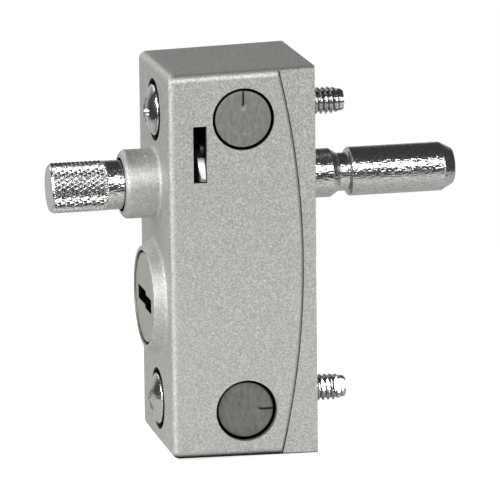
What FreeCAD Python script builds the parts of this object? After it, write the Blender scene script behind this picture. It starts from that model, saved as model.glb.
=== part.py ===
import FreeCAD, Part

import math
import os
import re

import Sketcher
from FreeCAD import Vector

# A patio door lock: a die-cast casing screwed to the sliding door, a plated
# bolt with a knurled knob that is pushed through into the frame, a latch plate
# that grips a groove of the bolt, and a key cylinder that lifts the latch.
#
# The origin is the centre of the mounting face. +X runs along the bolt to its
# tip, away from the casing. -Y is the side with the two screw covers and the
# latch window. +Z is up. All sizes are millimetres.

SIZES = {
    # Casing
    "casing_height": 80.0,
    "casing_width": 30.0,
    "casing_depth": 30.0,
    "height_draft": 0.6,
    "width_draft": 0.3,
    "edge_round": 1.6,
    "back_round": 0.5,
    # The cover panel stands proud of the strip beyond a long shallow arc
    "step_depth": 0.6,
    "arc_end_inset": 7.6,
    "arc_middle_inset": 2.75,
    # Hollows of the casing
    "outer_wall": 6.0,
    "cavity_width": 17.0,
    "cavity_top": 24.2,
    "cavity_floor": 2.6,
    "cavity_round": 1.4,
    "chamber_depth": 10.6,
    "chamber_low": 19.0,
    # Bolt
    "shaft_height": 15.0,
    "shaft_diameter": 10.0,
    "running_gap": 0.08,
    "knob_reach": 51.8,
    "bolt_throw": 32.0,
    "knurl_length": 11.4,
    "knurl_diameter": 10.2,
    "knob_chamfer": 0.6,
    "tip_length": 2.5,
    "tip_diameter": 7.0,
    "neck_diameter": 7.8,
    "neck_width": 2.0,
    "cone_length": 1.7,
    # Boss that the knob enters
    "boss_diameter": 14.0,
    "boss_length": 7.1,
    "boss_round": 1.3,
    "boss_foot_round": 0.8,
    "mouth_diameter": 11.0,
    "mouth_depth": 3.0,
    # Collar round the key cylinder
    "cylinder_drop": 8.7,
    "collar_margin": 1.4,
    "collar_rim_diameter": 20.8,
    "collar_height": 2.7,
    "collar_rim_round": 0.4,
    "collar_foot_round": 1.2,
    # Key cylinder
    "housing_diameter": 19.3,
    "housing_gap": 0.05,
    "housing_wall": 2.0,
    "core_gap": 0.05,
    "end_gap": 0.1,
    "face_recess": 0.25,
    "flange_diameter": 18.5,
    "flange_thickness": 1.2,
    "flange_round": 0.3,
    "keyway_length": 12.8,
    "keyway_height": 2.95,
    "keyway_step": 0.7,
    "inner_keyway_length": 9.6,
    "keyway_depth": 18.5,
    "groove_depth": 1.0,
    "groove_margin": 0.25,
    "locking_pin_diameter": 2.0,
    "locking_pin_inset": 12.6,
    "locking_pin_depth": 1.6,
    # Wafers in the core
    "wafer_first": 27.6,
    "wafer_pitch": 2.8,
    "wafer_thickness": 1.0,
    "wafer_height": 7.0,
    "wafer_gap": 0.05,
    "wafer_window_length": 9.8,
    "bitting_step": 0.25,
    "wafer_lug_drop": 1.3,
    "wafer_lug_width": 1.0,
    "wafer_spring_diameter": 0.9,
    "wafer_spring_wire": 0.2,
    "wafer_spring_length": 2.4,
    # Latch
    "latch_gap": 0.1,
    "latch_thickness": 1.5,
    "latch_width": 16.0,
    "latch_top": 22.7,
    "latch_lift": 1.1,
    "latch_hole_gap": 0.1,
    "leg_low": 4.4,
    "leg_width": 14.4,
    "leg_margin": 2.2,
    "slot_width": 2.75,
    "slot_height": 11.5,
    "slot_low": 17.45,
    "slot_wall": 3.0,
    "slot_relief": 0.7,
    "slot_gap": 0.08,
    "tab_recess": 0.5,
    "tab_gap": 0.15,
    "tab_front_height": 4.05,
    "tab_bevel_depth": 2.9,
    "tab_bevel_rise": 1.05,
    # Springs under the latch
    "latch_spring_inset": 16.0,
    "latch_spring_spacing": 11.0,
    "latch_spring_diameter": 3.0,
    "latch_spring_wire": 0.4,
    "spring_well_depth": 1.5,
    "spring_gap": 0.1,
    # Eccentric that moves the latch
    "cam_diameter": 16.4,
    "cam_thickness": 1.6,
    "eccentric_diameter": 7.0,
    "eccentric_length": 1.9,
    "leg_gap": 0.2,
    "window_gap": 0.1,
    "tail_size": 6.0,
    "tail_length": 1.3,
    "tail_gap": 0.04,
    "cam_screw_diameter": 3.0,
    "cam_screw_length": 6.0,
    "cam_screw_head_diameter": 5.6,
    "cam_screw_head_height": 1.8,
    "screw_gap": 0.05,
    # Guide block behind the latch
    "block_low": 7.2,
    "block_gap": 0.1,
    # Back plate and its screws
    "plate_thickness": 2.0,
    "plate_width": 26.0,
    "plate_top": 25.6,
    "plate_low": 21.0,
    "plate_round": 2.0,
    "plate_gap": 0.05,
    "plate_screw_spacing": 20.8,
    "plate_screw_top": 22.8,
    "plate_screw_low": 17.8,
    "plate_screw_diameter": 2.4,
    "plate_screw_length": 7.5,
    "plate_screw_head": 4.6,
    "plate_screw_sink": 1.3,
    "plate_recess_span": 2.4,
    "plate_recess_width": 0.5,
    "plate_recess_depth": 0.8,
    # Fixing screws
    "screw_end_inset": 10.0,
    "screw_shank_diameter": 4.9,
    "screw_diameter": 5.5,
    "thread_start": 0.1,
    "screw_reach": 9.0,
    "screw_point_length": 3.2,
    "screw_point_diameter": 3.4,
    "screw_head_diameter": 10.4,
    "screw_head_rim": 1.8,
    "screw_head_height": 3.6,
    "screw_hole_diameter": 6.2,
    "counterbore_diameter": 12.7,
    "counterbore_depth": 1.6,
    "recess_span": 5.6,
    "recess_width": 1.3,
    "recess_depth": 1.7,
    # Covers of the side fixing holes
    "plug_inset": 14.8,
    "plug_pocket_diameter": 12.6,
    "plug_pocket_depth": 4.0,
    "plug_diameter": 11.5,
    "plug_recess": 0.35,
    "plug_lower_recess": 1.2,
    "plug_face": 1.3,
    "plug_wall": 1.0,
    "plug_round": 0.3,
    "plug_slit_length": 3.2,
    "plug_slit_width": 0.5,
    "plug_slit_depth": 0.4,
}

# Sizes and places that follow from the driving sizes
WORKED = {
    "half_height": "casing_height / 2",
    "half_width": "casing_width / 2",
    "outer_half_height": "half_height - height_draft",
    "outer_half_width": "half_width - width_draft",
    "arc_rise": "arc_end_inset - arc_middle_inset",
    "arc_radius": "(half_height ^ 2 + arc_rise ^ 2) / (2 * arc_rise)",
    "arc_centre": "-arc_middle_inset - arc_radius",
    "cavity_half": "cavity_width / 2",
    "cavity_front": "outer_wall - casing_depth",
    "shaft_radius": "shaft_diameter / 2",
    "shaft_bore": "shaft_radius + running_gap",
    "knurl_radius": "knurl_diameter / 2",
    "tip_radius": "tip_diameter / 2",
    "neck_radius": "neck_diameter / 2",
    "boss_radius": "boss_diameter / 2",
    "mouth_radius": "mouth_diameter / 2",
    "collar_foot": "outer_half_width - edge_round - collar_margin",
    "collar_rim": "collar_rim_diameter / 2",
    "collar_end": "-casing_depth - collar_height",
    "housing_radius": "housing_diameter / 2",
    "housing_bore": "housing_radius + housing_gap",
    "core_bore": "housing_radius - housing_wall",
    "core_radius": "core_bore - core_gap",
    "core_face": "collar_end + face_recess",
    "housing_front": "core_face + flange_thickness + end_gap",
    "core_end": "-chamber_depth + end_gap",
    "flange_radius": "flange_diameter / 2",
    "keyway_half": "keyway_length / 2",
    "inner_keyway_half": "inner_keyway_length / 2",
    "keyway_up": "keyway_height / 2",
    "wafer_half": "wafer_height / 2",
    "wafer_corner": "sqrt(core_radius ^ 2 - wafer_half ^ 2)",
    "window_half": "wafer_window_length / 2",
    "groove_half": "wafer_half + groove_margin",
    "groove_reach": "core_bore + groove_depth",
    "groove_end": "-locking_pin_inset - locking_pin_diameter",
    "wafer_slot_half": "wafer_half + wafer_gap",
    "lug_half": "wafer_lug_width / 2",
    "lug_low": "wafer_half + wafer_lug_drop",
    "wafer_spring_radius": "wafer_spring_diameter / 2",
    "wafer_spring_axis": "wafer_half + wafer_spring_radius + wafer_gap",
    "wafer_middle": "wafer_thickness / 2",
    "locking_pin_radius": "locking_pin_diameter / 2",
    "latch_half": "latch_width / 2",
    "latch_front": "cavity_front + latch_gap",
    "latch_back": "latch_front + latch_thickness",
    "leg_half": "leg_width / 2",
    "neck_end": "latch_back + latch_gap + latch_gap",
    "neck_start": "neck_end - neck_width",
    "block_front": "latch_back + latch_gap",
    "block_half": "cavity_half - block_gap",
    "slot_back": "latch_back + slot_gap",
    "slot_front": "slot_back - slot_width",
    "tab_front": "tab_recess - half_width",
    "tab_low": "slot_low + tab_gap",
    "latch_spring_side": "latch_spring_spacing / 2",
    "latch_spring_radius": "latch_spring_diameter / 2",
    "eccentricity": "latch_lift / sqrt(2)",
    "eccentric_side": "latch_lift / 2",
    "eccentric_radius": "eccentric_diameter / 2",
    "cam_radius": "cam_diameter / 2",
    "cam_back": "core_end + cam_thickness",
    "eccentric_end": "cam_back + eccentric_length",
    "window_up": "eccentric_radius + window_gap",
    "window_side": "eccentric_radius + eccentricity + window_gap",
    "window_centre": "-cylinder_drop - eccentric_side",
    "leg_front": "cam_back + leg_gap",
    "leg_back": "leg_front + latch_thickness",
    "tail_half": "tail_size / 2",
    "cam_screw_radius": "cam_screw_diameter / 2",
    "cam_screw_head": "cam_screw_head_diameter / 2",
    "plate_half": "plate_width / 2",
    "plate_screw_side": "plate_screw_spacing / 2",
    "plate_screw_radius": "plate_screw_diameter / 2",
    "plate_screw_rim": "plate_screw_head / 2",
    "plate_recess_half": "plate_recess_span / 2",
    "plate_recess_side": "plate_recess_width / 2",
    "screw_side": "half_height - screw_end_inset",
    "screw_shank": "screw_shank_diameter / 2",
    "screw_radius": "screw_diameter / 2",
    "screw_point": "screw_point_diameter / 2",
    "screw_head": "screw_head_diameter / 2",
    "screw_seat": "counterbore_depth - casing_depth",
    "dome_rise": "screw_head_height - screw_head_rim",
    "dome_radius": "(screw_head ^ 2 + dome_rise ^ 2) / (2 * dome_rise)",
    "dome_centre": "screw_seat - screw_head_height + dome_radius",
    "screw_hole": "screw_hole_diameter / 2",
    "recess_half": "recess_span / 2",
    "recess_side": "recess_width / 2",
    "plug_radius": "plug_diameter / 2",
    "plug_floor": "half_width - plug_pocket_depth",
    "plug_top": "half_width - plug_recess",
    "plug_lower_top": "half_width - plug_lower_recess",
    "plug_slit_half": "plug_slit_width / 2",
}

WAFER_COUNT = 5
WAYS = "xyz"
NEAR = 1e-4

doc = FreeCAD.newDocument("PatioDoorLock")
driving = doc.addObject("Spreadsheet::Sheet", "Sizes")
for row, (alias, size) in enumerate(SIZES.items(), 1):
    driving.set("A%d" % row, alias)
    driving.set("B%d" % row, str(size))
    driving.setAlias("B%d" % row, alias)
doc.recompute()


def linked(text, own_sheet=False):
    """The same sum as an expression that names the sheet of each size."""
    def sheet_of(match):
        word = match.group(0)
        if word in SIZES:
            return "Sizes." + word
        if word in WORKED and not own_sheet:
            return "Worked." + word
        return word
    return re.sub(r"[a-z_]+", sheet_of, text)


derived = doc.addObject("Spreadsheet::Sheet", "Worked")
for row, (alias, formula) in enumerate(WORKED.items(), 1):
    derived.set("A%d" % row, alias)
    derived.set("B%d" % row, "=" + linked(formula, own_sheet=True))
    derived.setAlias("B%d" % row, alias)
doc.recompute()


def number(text):
    """The value of a sum of sizes, such as "cavity_front + latch_gap"."""
    total = 0.0
    for sign, word in re.findall(r"([+-]?)\s*([a-z_]+|[0-9.]+)", text):
        if word in SIZES:
            size = getattr(driving, word)
        elif word in WORKED:
            size = getattr(derived, word)
        else:
            size = float(word)
        total += -float(size) if sign == "-" else float(size)
    return total


def bind(item, path, text):
    item.setExpression(path, linked(text))


# Sketches

def new_body(node):
    body = doc.addObject("PartDesign::Body", "".join(w.title() for w in node.split("_")))
    body.Label = node
    return body


def sketch_on(body, name, role, rise="0", across="0", up="0"):
    """A sketch on one of the body's own planes, raised along that plane's normal."""
    sketch = body.newObject("Sketcher::SketchObject", name)
    base = [plane for plane in body.Origin.OriginFeatures if plane.Role == role][0]
    sketch.AttachmentSupport = (base, [""])
    sketch.MapMode = "FlatFace"
    bind(sketch, "AttachmentOffset.Base.x", across)
    bind(sketch, "AttachmentOffset.Base.y", up)
    bind(sketch, "AttachmentOffset.Base.z", rise)
    return sketch


def hold(sketch, kind, geometry, end, text):
    """Fix one coordinate of a point to a sum of sizes."""
    axis = {"DistanceX": -2, "DistanceY": -1}[kind]
    if text == "0":
        sketch.addConstraint(Sketcher.Constraint("PointOnObject", geometry, end, axis))
        return
    rule = Sketcher.Constraint(kind, -1, 1, geometry, end, number(text))
    index = sketch.addConstraint(rule)
    bind(sketch, "Constraints[%d]" % index, text)


def outline(sketch, corners, bows=None):
    """A closed outline through (across, up) corners.

    Its sides are straight, but for those that bows lists with the arc's centre
    and its turn: 1 where it runs counter-clockwise and -1 where clockwise.
    """
    bows = bows or {}
    spots = [Vector(number(across), number(up), 0) for across, up in corners]
    sides = []
    for index, spot in enumerate(spots):
        follower = spots[(index + 1) % len(spots)]
        if index not in bows:
            shape = Part.LineSegment(spot, follower)
            sides.append((sketch.addGeometry(shape, False), 1, 2))
            continue
        across, up, turn = bows[index]
        middle = Vector(number(across), number(up), 0)
        ends = (spot, follower) if turn > 0 else (follower, spot)
        angles = [math.atan2((end - middle).y, (end - middle).x) for end in ends]
        ring = Part.Circle(middle, Vector(0, 0, 1), (spot - middle).Length)
        shape = Part.ArcOfCircle(ring, angles[0], angles[1])
        first, last = (1, 2) if turn > 0 else (2, 1)
        sides.append((sketch.addGeometry(shape, False), first, last))
    for index, (side, first, last) in enumerate(sides):
        follower = sides[(index + 1) % len(sides)]
        join = Sketcher.Constraint("Coincident", side, last, follower[0], follower[1])
        sketch.addConstraint(join)
    for index, (across, up) in enumerate(corners):
        hold(sketch, "DistanceX", sides[index][0], sides[index][1], across)
        hold(sketch, "DistanceY", sides[index][0], sides[index][1], up)
    for index, (across, up, turn) in bows.items():
        hold(sketch, "DistanceX", sides[index][0], 3, across)


def rectangle(sketch, left, right, low, high):
    outline(sketch, [(left, low), (right, low), (right, high), (left, high)])


def circle(sketch, radius, across="0", up="0"):
    centre = Vector(number(across), number(up), 0)
    index = sketch.addGeometry(Part.Circle(centre, Vector(0, 0, 1), number(radius)), False)
    rule = sketch.addConstraint(Sketcher.Constraint("Radius", index, number(radius)))
    bind(sketch, "Constraints[%d]" % rule, radius)
    hold(sketch, "DistanceX", index, 3, across)
    hold(sketch, "DistanceY", index, 3, up)


def cross(sketch, reach, half):
    """A cross recess: two equal bars that cross at the sketch's own origin."""
    outline(sketch, [
        ("-" + half, "-" + reach), (half, "-" + reach), (half, "-" + half),
        (reach, "-" + half), (reach, half), (half, half), (half, reach),
        ("-" + half, reach), ("-" + half, half), ("-" + reach, half),
        ("-" + reach, "-" + half), ("-" + half, "-" + half)])


# Features

def grow(body, kind, name, profile, length, reverse=False):
    feature = body.newObject("PartDesign::" + kind, name)
    feature.Profile = profile
    if length == "through":
        feature.Type = "ThroughAll"
    else:
        bind(feature, "Length", length)
    feature.Reversed = reverse
    profile.Visibility = False
    return feature


def pad(body, name, profile, length, reverse=False):
    return grow(body, "Pad", name, profile, length, reverse)


def pocket(body, name, profile, length, reverse=False):
    """A pocket runs against the sketch's normal, and reverse turns it round."""
    doc.recompute()
    before = body.Tip.Shape.Volume
    feature = grow(body, "Pocket", name, profile, length, reverse)
    doc.recompute()
    if not feature.Shape.Volume < before - NEAR:
        raise RuntimeError("%s cuts nothing" % name)
    return feature


def revolve(body, kind, name, profile):
    feature = body.newObject("PartDesign::" + kind, name)
    feature.Profile = profile
    feature.ReferenceAxis = (profile, ["H_Axis"])
    feature.Angle = 360
    return feature


def touching(shape, tests):
    """Names of the edges that lie wholly at the given coordinates."""
    names = []
    for index, edge in enumerate(shape.Edges):
        box = edge.BoundBox
        lows = (box.XMin, box.YMin, box.ZMin)
        highs = (box.XMax, box.YMax, box.ZMax)
        fits = [lows[WAYS.index(way)] > low - NEAR and highs[WAYS.index(way)] < high + NEAR
                for way, low, high in tests]
        if all(fits):
            names.append("Edge%d" % (index + 1))
    return names


def round_edges(body, name, radius, places):
    """Fillet every edge of the tip that lies in one of the boxes of coordinates."""
    doc.recompute()
    base = body.Tip
    names = []
    for tests in places:
        names += [edge for edge in touching(base.Shape, tests) if edge not in names]
    if not names:
        raise RuntimeError("%s finds no edge" % name)
    feature = body.newObject("PartDesign::Fillet", name)
    feature.Base = (base, names)
    bind(feature, "Radius", radius)
    return feature


def at(way, text):
    place = number(text)
    return (way, place, place)


def between(way, low, high):
    return (way, number(low), number(high))


# Casing

casing = new_body("body_casting")
foot_outline = sketch_on(casing, "MountingOutline", "YZ_Plane")
rectangle(foot_outline, "-half_width", "half_width", "-half_height", "half_height")
outer_outline = sketch_on(casing, "OuterOutline", "YZ_Plane", rise="-casing_depth")
rectangle(outer_outline, "-outer_half_width", "outer_half_width",
          "-outer_half_height", "outer_half_height")
block = casing.newObject("PartDesign::AdditiveLoft", "DraftedBlock")
block.Profile = foot_outline
block.Sections = [outer_outline]
block.Ruled = True

draft_y = ("y", -number("half_width"), -number("outer_half_width"))
top_band = ("z", number("outer_half_height"), number("half_height"))
low_band = ("z", -number("half_height"), -number("outer_half_height"))
back_band = ("y", number("outer_half_width"), number("half_width"))
outer_face = at("x", "-casing_depth")
round_edges(casing, "OuterEdges", "edge_round", [
    [outer_face, draft_y], [outer_face, top_band], [outer_face, low_band],
    [draft_y, top_band], [draft_y, low_band]])
round_edges(casing, "BackEdges", "back_round", [
    [back_band, top_band], [back_band, low_band],
    [back_band, between("x", "-casing_depth", "edge_round - casing_depth")]])

strip = sketch_on(casing, "StripOutline", "XZ_Plane", rise="half_width + step_depth")
outline(strip, [
    ("-arc_end_inset", "half_height"), ("step_depth", "half_height"),
    ("step_depth", "-half_height"), ("-arc_end_inset", "-half_height")],
    bows={3: ("arc_centre", "0", 1)})
pocket(casing, "Strip", strip, "step_depth + step_depth")

boss_ring = sketch_on(casing, "BossOutline", "YZ_Plane", rise="-casing_depth - boss_length",
                      up="shaft_height")
circle(boss_ring, "boss_radius")
pad(casing, "Boss", boss_ring, "boss_length + back_round")

collar_side = sketch_on(casing, "CollarProfile", "XZ_Plane", up="-cylinder_drop")
outline(collar_side, [
    ("edge_round - casing_depth", "0"), ("edge_round - casing_depth", "collar_foot"),
    ("-casing_depth", "collar_foot"), ("collar_end", "collar_rim"), ("collar_end", "0")])
revolve(casing, "Revolution", "Collar", collar_side)
round_edges(casing, "BossEnd", "boss_round", [[at("x", "-casing_depth - boss_length")]])
foot_ring = [outer_face, between("z", "shaft_height - boss_radius", "shaft_height + boss_radius"),
             between("y", "-boss_radius", "boss_radius")]
round_edges(casing, "BossFoot", "boss_foot_round", [foot_ring])
collar_ring = [outer_face, between("y", "-collar_foot", "collar_foot"),
               between("z", "-cylinder_drop - collar_foot", "collar_foot - cylinder_drop")]
round_edges(casing, "CollarFoot", "collar_foot_round", [collar_ring])
round_edges(casing, "CollarRim", "collar_rim_round", [[at("x", "collar_end")]])

cavity = sketch_on(casing, "CavityOutline", "YZ_Plane")
rectangle(cavity, "-cavity_half", "cavity_half", "cavity_floor", "cavity_top")
pocket(casing, "LatchCavity", cavity, "-cavity_front")
chamber = sketch_on(casing, "ChamberOutline", "YZ_Plane")
rectangle(chamber, "-cavity_half", "cavity_half", "-chamber_low", "cavity_top")
pocket(casing, "RearChamber", chamber, "chamber_depth")
seat = sketch_on(casing, "PlateSeatOutline", "YZ_Plane")
rectangle(seat, "-plate_half - plate_gap", "plate_half + plate_gap",
          "-plate_low - plate_gap", "plate_top + plate_gap")
pocket(casing, "PlateSeat", seat, "plate_thickness")
round_edges(casing, "PlateSeatCorners", "plate_round", [
    [at("y", side), at("z", level), between("x", "-plate_thickness", "0")]
    for side in ("-plate_half - plate_gap", "plate_half + plate_gap")
    for level in ("-plate_low - plate_gap", "plate_top + plate_gap")])

bore = sketch_on(casing, "ShaftBoreOutline", "YZ_Plane", rise="cavity_front", up="shaft_height")
circle(bore, "shaft_bore")
pocket(casing, "ShaftBore", bore, "outer_wall + boss_length")
mouth = sketch_on(casing, "MouthOutline", "YZ_Plane", rise="-casing_depth - boss_length",
                  up="shaft_height")
circle(mouth, "mouth_radius")
pocket(casing, "BossMouth", mouth, "mouth_depth", reverse=True)
barrel = sketch_on(casing, "CylinderBoreOutline", "YZ_Plane", rise="-chamber_depth",
                   up="-cylinder_drop")
circle(barrel, "housing_bore")
pocket(casing, "CylinderBore", barrel, "casing_depth + collar_height - chamber_depth")

window = sketch_on(casing, "LatchWindowOutline", "XZ_Plane", rise="half_width")
rectangle(window, "slot_front", "slot_back", "slot_low", "slot_low + slot_height")
pocket(casing, "LatchWindow", window, "half_width - cavity_half")
relief = sketch_on(casing, "WindowReliefOutline", "XZ_Plane", rise="half_width - slot_wall")
rectangle(relief, "slot_front - slot_relief", "slot_back + slot_relief",
          "slot_low - slot_relief", "slot_low + slot_height + slot_relief")
pocket(casing, "WindowRelief", relief, "half_width - slot_wall - cavity_half")
wells = sketch_on(casing, "SpringWellOutline", "XY_Plane", rise="cavity_floor",
                  across="-latch_spring_inset")
for side in ("-latch_spring_side", "latch_spring_side"):
    circle(wells, "latch_spring_radius + spring_gap", up=side)
pocket(casing, "SpringWells", wells, "spring_well_depth")
pin_hole = sketch_on(casing, "LockingPinOutline", "XY_Plane", rise="cavity_floor",
                     across="-locking_pin_inset")
circle(pin_hole, "locking_pin_radius + screw_gap")
pocket(casing, "LockingPinHole", pin_hole, "cavity_floor + cylinder_drop - core_bore")
plate_holes = sketch_on(casing, "PlateScrewOutline", "YZ_Plane", rise="-plate_thickness")
for side in ("-plate_screw_side", "plate_screw_side"):
    for level in ("-plate_screw_low", "plate_screw_top"):
        circle(plate_holes, "plate_screw_radius + screw_gap", side, level)
pocket(casing, "PlateScrewHoles", plate_holes, "plate_screw_length")


def counterbored(name, profile, hole, wide, deep, reverse):
    """Two through holes with flat-bottomed counterbores."""
    doc.recompute()
    feature = casing.newObject("PartDesign::Hole", name)
    feature.Profile = profile
    feature.DepthType = "ThroughAll"
    feature.HoleCutType = "Counterbore"
    feature.HoleCutCustomValues = True
    feature.Reversed = reverse
    bind(feature, "Diameter", hole)
    bind(feature, "HoleCutDiameter", wide)
    bind(feature, "HoleCutDepth", deep)
    return feature


fixings = sketch_on(casing, "FixingHoleCentres", "YZ_Plane", rise="-casing_depth")
for level in ("-screw_side", "screw_side"):
    circle(fixings, "screw_hole", up=level)
counterbored("FixingHoles", fixings, "screw_hole_diameter", "counterbore_diameter",
             "counterbore_depth", True)
side_fixings = sketch_on(casing, "SideHoleCentres", "XZ_Plane", rise="half_width",
                         across="-plug_inset")
for level in ("-screw_side", "screw_side"):
    circle(side_fixings, "screw_hole", up=level)
counterbored("SideHoles", side_fixings, "screw_hole_diameter", "plug_pocket_diameter",
             "plug_pocket_depth", False)

# Bolt

plunger = new_body("plunger")
bolt_side = sketch_on(plunger, "BoltProfile", "XZ_Plane", up="shaft_height")
outline(bolt_side, [
    ("-knob_reach", "0"),
    ("-knob_reach", "knurl_radius - knob_chamfer"),
    ("knob_chamfer - knob_reach", "knurl_radius"),
    ("knurl_length - knob_reach", "knurl_radius"),
    ("knurl_length - knob_reach", "shaft_radius"),
    ("neck_start", "shaft_radius"),
    ("neck_start", "neck_radius"),
    ("neck_end", "neck_radius"),
    ("neck_end", "shaft_radius"),
    ("neck_start + bolt_throw - cone_length", "shaft_radius"),
    ("neck_start + bolt_throw", "neck_radius"),
    ("neck_end + bolt_throw", "neck_radius"),
    ("neck_end + bolt_throw", "shaft_radius"),
    ("bolt_throw - tip_length", "shaft_radius"),
    ("bolt_throw", "tip_radius"),
    ("bolt_throw", "0")])
revolve(plunger, "Revolution", "Bolt", bolt_side)

# Latch plate, bent in a channel over the key cylinder

latch = new_body("latch_yoke")
latch_face = sketch_on(latch, "LatchOutline", "YZ_Plane", rise="latch_front")
outline(latch_face, [
    ("-leg_half", "leg_low"), ("leg_half", "leg_low"),
    ("leg_half", "block_low"), ("latch_half", "block_low"),
    ("latch_half", "latch_top"), ("-latch_half", "latch_top"),
    ("tab_front + tab_bevel_depth", "tab_low + tab_front_height + tab_bevel_rise"),
    ("tab_front", "tab_low + tab_front_height"),
    ("tab_front", "tab_low"), ("-latch_half", "tab_low"),
    ("-latch_half", "block_low"), ("-leg_half", "block_low")])
pad(latch, "LatchPlate", latch_face, "latch_thickness")
latch_eye = sketch_on(latch, "LatchEyeOutline", "YZ_Plane", rise="latch_front", up="shaft_height")
circle(latch_eye, "shaft_radius + latch_hole_gap")
pocket(latch, "LatchEye", latch_eye, "latch_thickness", reverse=True)
bridge = sketch_on(latch, "BridgeOutline", "XY_Plane", rise="leg_low")
rectangle(bridge, "latch_front", "leg_back", "-leg_half", "leg_half")
pad(latch, "Bridge", bridge, "latch_thickness")
drop_leg = sketch_on(latch, "DropLegOutline", "YZ_Plane", rise="leg_front")
rectangle(drop_leg, "-leg_half", "leg_half",
          "window_centre - window_up - leg_margin", "leg_low + latch_thickness")
pad(latch, "DropLeg", drop_leg, "latch_thickness")
cam_window = sketch_on(latch, "CamWindowOutline", "YZ_Plane", rise="leg_front")
rectangle(cam_window, "-window_side", "window_side",
          "window_centre - window_up", "window_centre + window_up")
pocket(latch, "CamWindow", cam_window, "latch_thickness", reverse=True)

# Guide block that keeps the latch in its place and carries the bolt

guide = new_body("bolt_guide_block")
guide_outline = sketch_on(guide, "BlockOutline", "YZ_Plane", rise="block_front")
rectangle(guide_outline, "-block_half", "block_half", "block_low", "cavity_top - block_gap")
circle(guide_outline, "shaft_bore", up="shaft_height")
pad(guide, "Block", guide_outline, "-block_front - plate_thickness")
round_edges(guide, "BlockCorners", "cavity_round", [
    [at("y", side), at("z", level)]
    for side in ("-block_half", "block_half")
    for level in ("block_low", "cavity_top - block_gap")])

# Back plate and its four countersunk screws

back_plate = new_body("back_plate")
plate_outline = sketch_on(back_plate, "PlateOutline", "YZ_Plane", rise="-plate_thickness")
rectangle(plate_outline, "-plate_half", "plate_half", "-plate_low", "plate_top")
circle(plate_outline, "shaft_bore", up="shaft_height")
for side in ("-plate_screw_side", "plate_screw_side"):
    for level in ("-plate_screw_low", "plate_screw_top"):
        circle(plate_outline, "plate_screw_radius + screw_gap", side, level)
pad(back_plate, "Plate", plate_outline, "plate_thickness")
round_edges(back_plate, "PlateCorners", "plate_round", [
    [at("y", side), at("z", level)]
    for side in ("-plate_half", "plate_half")
    for level in ("-plate_low", "plate_top")])
sinks = sketch_on(back_plate, "SinkProfile", "XZ_Plane", rise="plate_screw_side",
                  up="plate_screw_top")
outline(sinks, [("-plate_screw_sink", "0"),
                ("-plate_screw_sink", "plate_screw_radius + screw_gap"),
                ("0", "plate_screw_rim + screw_gap"), ("0", "0")])
first_sink = revolve(back_plate, "Groove", "Countersink", sinks)
sink_rows = back_plate.newObject("PartDesign::MultiTransform", "Countersinks")
sink_rows.Originals = [first_sink]
across_row = doc.addObject("PartDesign::LinearPattern", "AcrossRow")
across_row.Direction = (sinks, ["N_Axis"])
across_row.Reversed = True
across_row.Occurrences = 2
bind(across_row, "Length", "plate_screw_spacing")
down_row = doc.addObject("PartDesign::LinearPattern", "DownRow")
down_row.Direction = (sinks, ["V_Axis"])
down_row.Reversed = True
down_row.Occurrences = 2
bind(down_row, "Length", "plate_screw_top + plate_screw_low")
back_plate.addObject(across_row)
back_plate.addObject(down_row)
sink_rows.Transformations = [across_row, down_row]
back_plate.Tip = sink_rows


def countersunk_screw(name, side, rise, level):
    """One short screw of the back plate, its head flush with the mounting face."""
    body = new_body(name)
    profile = sketch_on(body, name + "_profile", "XZ_Plane", rise=rise, up=level)
    outline(profile, [
        ("0", "0"), ("0", "plate_screw_rim"), ("-plate_screw_sink", "plate_screw_radius"),
        ("-plate_screw_length", "plate_screw_radius"), ("-plate_screw_length", "0")])
    revolve(body, "Revolution", name + "_turned", profile)
    recess = sketch_on(body, name + "_recess", "YZ_Plane", across=side, up=level)
    cross(recess, "plate_recess_half", "plate_recess_side")
    pocket(body, name + "_driver", recess, "plate_recess_depth")
    return body


# Fixing screws

def fixing_screw(name, level):
    body = new_body(name)
    profile = sketch_on(body, name + "_profile", "XZ_Plane", up=level)
    outline(profile, [
        ("screw_seat - screw_head_height", "0"),
        ("screw_seat - screw_head_rim", "screw_head"),
        ("screw_seat", "screw_head"),
        ("screw_seat", "screw_shank"),
        ("thread_start", "screw_shank"),
        ("thread_start", "screw_radius"),
        ("screw_reach - screw_point_length", "screw_radius"),
        ("screw_reach", "screw_point"),
        ("screw_reach", "0")],
        bows={0: ("dome_centre", "0", -1)})
    revolve(body, "Revolution", name + "_turned", profile)
    recess = sketch_on(body, name + "_recess", "YZ_Plane",
                       rise="screw_seat - screw_head_height", up=level)
    cross(recess, "recess_half", "recess_side")
    pocket(body, name + "_driver", recess, "recess_depth", reverse=True)
    return body


fixing_screw("fixing_screw_upper", "screw_side")
fixing_screw("fixing_screw_lower", "-screw_side")

# Covers of the side fixing holes

def hole_plug(name, level, top, upright):
    body = new_body(name)
    disc = sketch_on(body, name + "_disc", "XZ_Plane", rise="plug_floor",
                     across="-plug_inset", up=level)
    circle(disc, "plug_radius")
    pad(body, name + "_cap", disc, top + " - plug_floor")
    hollow = sketch_on(body, name + "_hollow", "XZ_Plane", rise="plug_floor",
                       across="-plug_inset", up=level)
    circle(hollow, "plug_radius - plug_wall")
    pocket(body, name + "_skirt", hollow, top + " - plug_floor - plug_face", reverse=True)
    round_edges(body, name + "_rim", "plug_round", [[at("y", "-" + top)]])
    slit = sketch_on(body, name + "_slit", "XZ_Plane", rise=top,
                     across="-plug_inset", up=level)
    sides = ("-plug_slit_half", "plug_slit_half")
    reach = ("plug_radius - plug_slit_length", "plug_radius + plug_round")
    if upright:
        rectangle(slit, sides[0], sides[1], reach[0], reach[1])
    else:
        rectangle(slit, reach[0], reach[1], sides[0], sides[1])
    pocket(body, name + "_mark", slit, "plug_slit_depth")
    return body


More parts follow.
